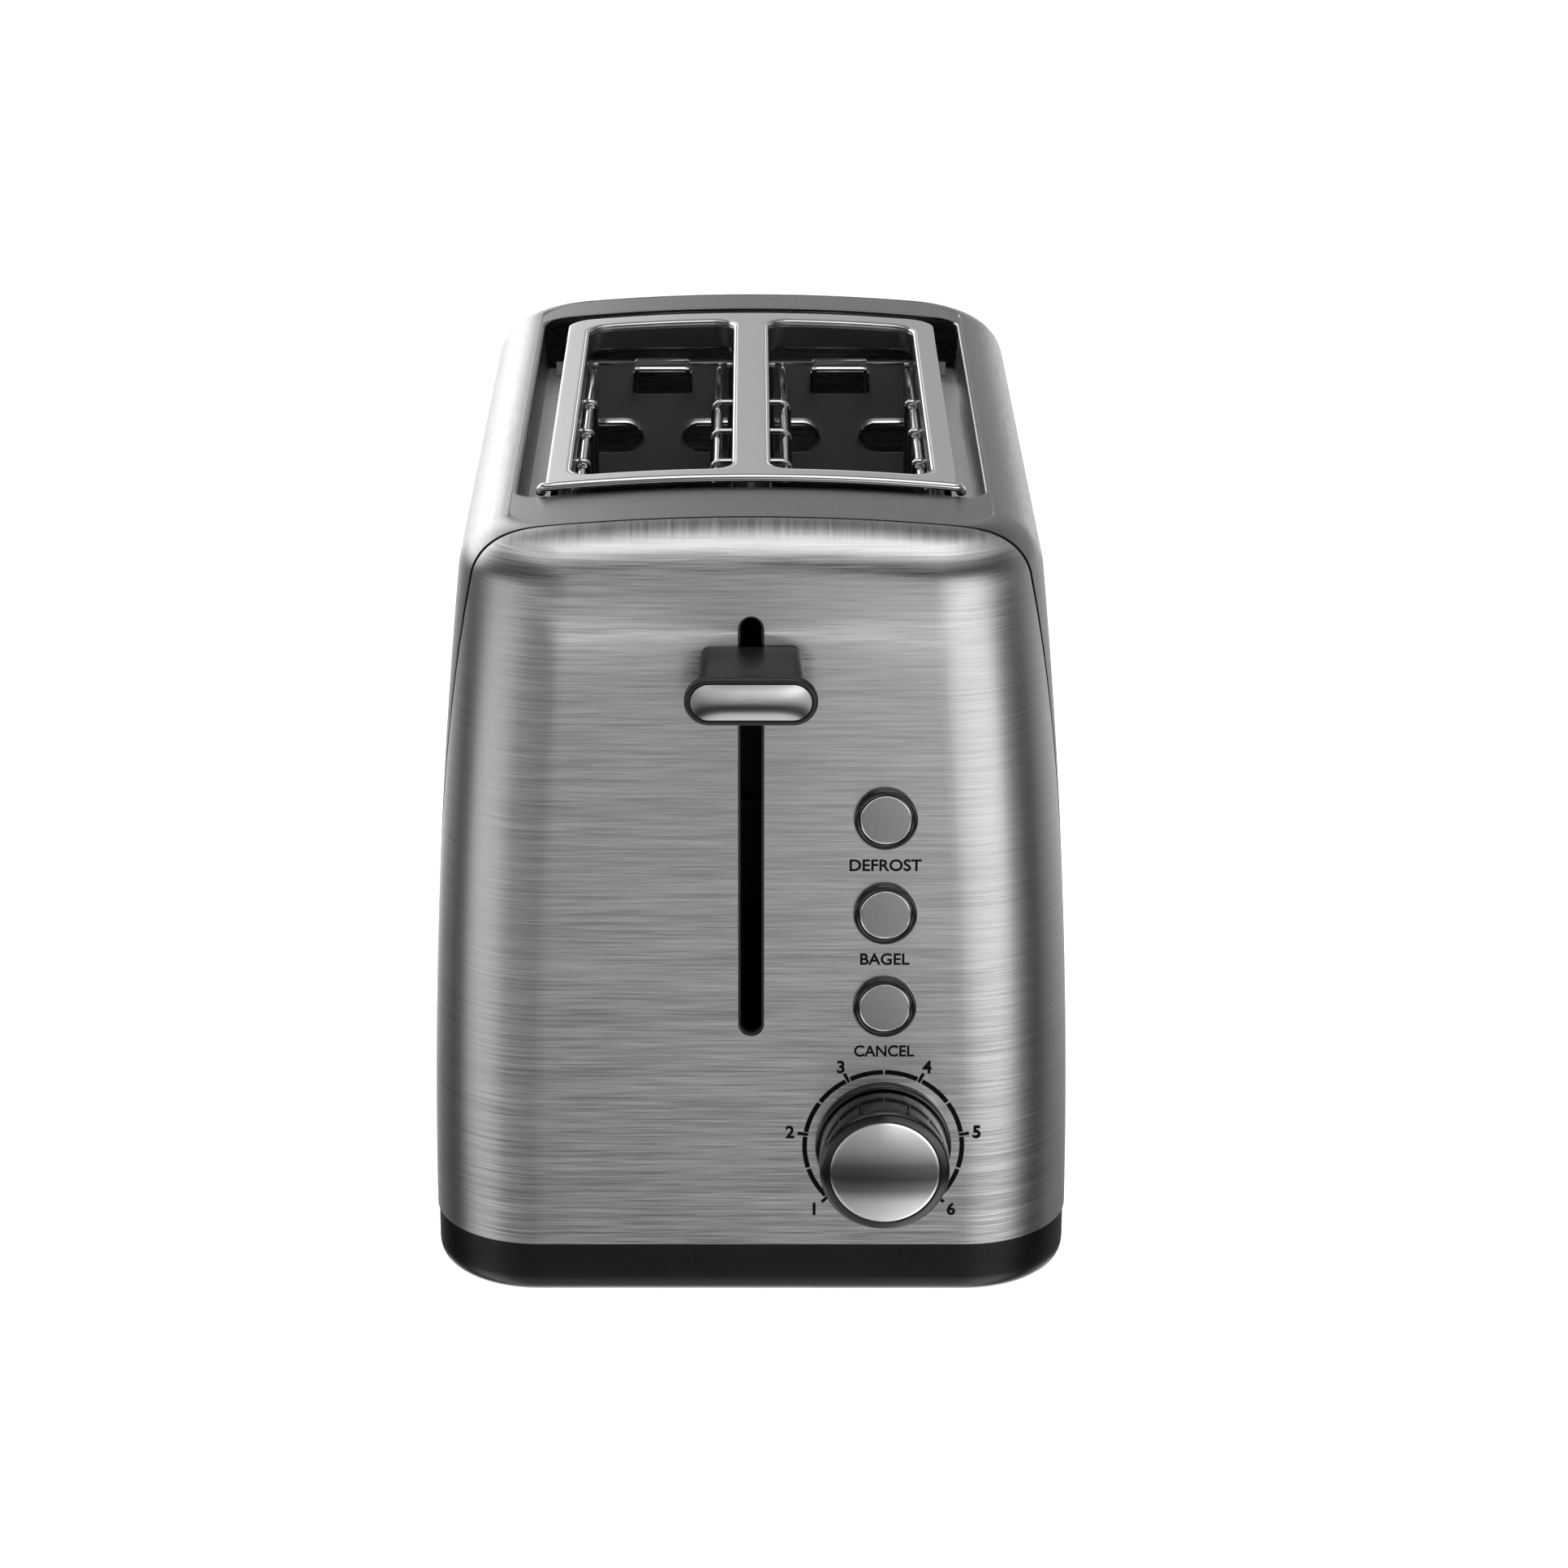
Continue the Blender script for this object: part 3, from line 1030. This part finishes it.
class TOASTER_OT_stage(Operator):
    """Pale floor, soft studio light and the camera"""

    bl_idname = "toaster.stage"
    bl_label = "Stage"

    distance: FloatProperty(name="Distance", description="Camera ahead of the front face", default=1.0016,
                            unit="LENGTH")
    rise: FloatProperty(name="Rise", description="Camera above the steel's lower edge", default=0.5023, unit="LENGTH")
    pitch: FloatProperty(name="Pitch", description="Camera looks down by this", default=math.radians(20.7),
                         subtype="ANGLE")
    lens: FloatProperty(name="Lens", description="Focal length in millimetres", default=101.63)

    shift: FloatProperty(name="Shift", description="Sideways shift of the view, as a share of its width", default=0.021)

    def execute(self, context):
        data = bpy.data.cameras.new("camera")
        data.lens = self.lens
        data.sensor_width = 36.0
        data.shift_x = self.shift
        data.clip_end = 50.0
        camera = bpy.data.objects.new("camera", data)
        camera.location = (0.0, FRONT_Y - self.distance, STEEL_Z + self.rise)
        camera.rotation_euler = (math.pi / 2 - self.pitch, 0.0, 0.0)
        context.scene.collection.objects.link(camera)
        context.scene.camera = camera
        context.scene.view_settings.view_transform = "Standard"
        self.floor()
        self.top_box(context)
        self.surroundings(context)
        return {"FINISHED"}

    def floor(self):
        """A plain pale floor, level with the feet."""
        half = 4.0
        line = np.linspace(-half, half, 3)
        x, y = np.meshgrid(line, line)
        floor = make_piece("floor", grid(np.dstack([x, y, 0 * x])))
        paper = new_material("floor_paper", (0.9, 0.9, 0.9), 0.9)
        seen = node(paper, "ShaderNodeLightPath")
        socket(paper, "Emission Color").default_value = (1, 1, 1, 1)
        link(paper, seen.outputs["Is Camera Ray"], socket(paper, "Emission Strength"))
        floor.data.materials.append(paper)
        floor.visible_glossy = False

    def top_box(self, context):
        """A weak soft box above, turned to face the toaster."""
        place, aim = np.array([0.15, -0.45, 1.5]), np.array([0, 0, 0.1])
        lamp = bpy.data.lights.new("top_box", "AREA")
        lamp.shape = "RECTANGLE"
        lamp.size, lamp.size_y = 0.9, 0.7
        lamp.energy = 2.0
        light = bpy.data.objects.new("top_box", lamp)
        light.location = place
        x, y, z = aim - place
        light.rotation_euler = (math.atan2(math.hypot(x, y), -z), 0.0, math.atan2(y, x) - math.pi / 2)
        context.scene.collection.objects.link(light)

    def surroundings(self, context):
        """The room's own light: white to look at, a soft studio pattern to light and be reflected.

        Low directions follow a ramp round the compass times a ramp of height.  Higher ones follow one ramp of height
        ahead and another behind.  A soft bright patch stands behind on the left and a fainter one on the right.
        """
        world = bpy.data.worlds.new("studio")
        world.use_nodes = True
        context.scene.world = world
        tree = world.node_tree

        def wire(source, target):
            if hasattr(source, "is_output"):
                tree.links.new(source, target)
            else:
                target.default_value = source

        def math_node(kind, a, b=0.0, c=0.0):
            made = tree.nodes.new("ShaderNodeMath")
            made.operation = kind
            for value, socket in zip((a, b, c), made.inputs):
                wire(value, socket)
            return made.outputs[0]

        def ramp(value, stops):
            made = tree.nodes.new("ShaderNodeValToRGB")
            wire(value, made.inputs["Fac"])
            points = made.color_ramp.elements
            while len(points) < len(stops):
                points.new(0.5)
            for point, (at, tone) in zip(points, stops):
                point.position = at
                point.color = (tone, tone, tone, 1)
            return made.outputs["Color"]

        def step(value, low, high):
            made = tree.nodes.new("ShaderNodeMapRange")
            made.interpolation_type = "SMOOTHSTEP"
            wire(value, made.inputs["Value"])
            made.inputs["From Min"].default_value = low
            made.inputs["From Max"].default_value = high
            return made.outputs["Result"]

        place = tree.nodes.new("ShaderNodeTexCoord")
        split = tree.nodes.new("ShaderNodeSeparateXYZ")
        wire(place.outputs["Generated"], split.inputs[0])
        dx, dy, dz = split.outputs
        compass = math_node("DIVIDE", math_node("ARCTAN2", dx, math_node("MULTIPLY", dy, -1.0)), 2 * math.pi)
        compass = math_node("ADD", compass, 0.5)
        around = [(-180, 1.3), (-160, 1.4), (-145, 0.6), (-128, 0.16), (-108, 0.07), (-94, 0.2), (-82, 0.8), (-70, 1.0),
                  (-55, 0.85), (-38, 0.42), (-8, 0.31), (0, 0.38), (7, 0.5), (22, 0.85), (40, 1.05), (54, 0.8),
                  (68, 0.35), (79, 0.11), (92, 0.1), (106, 0.28), (130, 0.6), (180, 1.2)]
        low = ramp(compass, [(angle / 360 + 0.5, tone) for angle, tone in around])
        below = ramp(math_node("MULTIPLY_ADD", dz, 0.5, 0.5),
                     [(0.0, 1.7), (0.17, 1.6), (0.21, 1.1), (0.238, 0.3), (0.268, 0.1), (0.3, 0.18), (0.345, 0.7),
                      (0.4, 1.15), (0.46, 1.3), (0.5, 1.15)])
        low = math_node("MULTIPLY", low, below)
        ahead = ramp(dz, [(0.0, 0.22), (0.1, 0.22), (0.2, 0.1), (0.5, 0.05), (0.64, 0.2), (0.78, 0.8), (1.0, 0.75)])
        behind = ramp(dz, [(0.0, 0.4), (0.34, 0.46), (0.6, 0.22), (0.86, 0.06), (0.96, 0.12), (1.0, 0.7)])
        side = step(dy, 0.0, 0.5)
        high = math_node("MULTIPLY_ADD", math_node("SUBTRACT", behind, ahead), side, ahead)
        patch = math_node("MULTIPLY", step(math_node("MULTIPLY", dx, -1.0), 0.05, 0.32), step(dy, 0.2, 0.6))
        high = math_node("ADD", high, math_node("MULTIPLY", math_node("MULTIPLY", patch, 2.6), step(dz, 0.75, 0.35)))
        level = math_node("MULTIPLY_ADD", math_node("SUBTRACT", high, low), step(dz, -0.06, 0.14), low)
        right = math_node("MULTIPLY", step(compass, 0.4935, 0.518), step(compass, 0.68, 0.63))
        right = math_node("MULTIPLY", math_node("MULTIPLY", right, step(dz, -0.32, 0.0)), step(dz, 0.42, 0.2))
        level = math_node("MULTIPLY_ADD", right, 0.85, level)
        seen = tree.nodes.new("ShaderNodeLightPath")
        light = tree.nodes["Background"]
        wire(math_node("MAXIMUM", level, seen.outputs["Is Camera Ray"]), light.inputs["Strength"])
        light.inputs["Color"].default_value = (1, 1, 1, 1)


class TOASTER_PT_panel(Panel):
    """Lists the toaster's builders and their settings"""

    bl_idname = "TOASTER_PT_panel"
    bl_label = "Toaster"
    bl_space_type = "VIEW_3D"
    bl_region_type = "UI"
    bl_category = "Toaster"

    def draw(self, context):
        for operator in OPERATORS:
            self.layout.operator(operator.bl_idname)
        for group in (context.scene.toaster_body, context.scene.toaster_plate, context.scene.toaster_finishes):
            for key in group.bl_rna.properties.keys():
                if key not in ("rna_type", "name"):
                    self.layout.prop(group, key)


OPERATORS = (
    TOASTER_OT_finishes,
    TOASTER_OT_body,
    TOASTER_OT_base,
    TOASTER_OT_slot_plate,
    TOASTER_OT_lever,
    TOASTER_OT_dial,
    TOASTER_OT_buttons,
    TOASTER_OT_print,
    TOASTER_OT_chamber,
    TOASTER_OT_springs,
    TOASTER_OT_stage,
)
GROUPS = (ToasterBodySizes, ToasterPlateSizes, ToasterFinishes)


def register():
    """Register every class and hang the settings on the scene."""
    for cls in GROUPS + OPERATORS + (TOASTER_PT_panel,):
        bpy.utils.register_class(cls)
    bpy.types.Scene.toaster_body = PointerProperty(type=ToasterBodySizes)
    bpy.types.Scene.toaster_plate = PointerProperty(type=ToasterPlateSizes)
    bpy.types.Scene.toaster_finishes = PointerProperty(type=ToasterFinishes)


def unregister():
    """Take the settings and classes away again."""
    del bpy.types.Scene.toaster_body
    del bpy.types.Scene.toaster_plate
    del bpy.types.Scene.toaster_finishes
    for cls in reversed(GROUPS + OPERATORS + (TOASTER_PT_panel,)):
        bpy.utils.unregister_class(cls)


def main():
    """Build everything in order and note both boxes."""
    register()
    for operator in OPERATORS:
        group, name = operator.bl_idname.split(".")
        getattr(getattr(bpy.ops, group), name)()


if __name__ == "__main__":
    main()
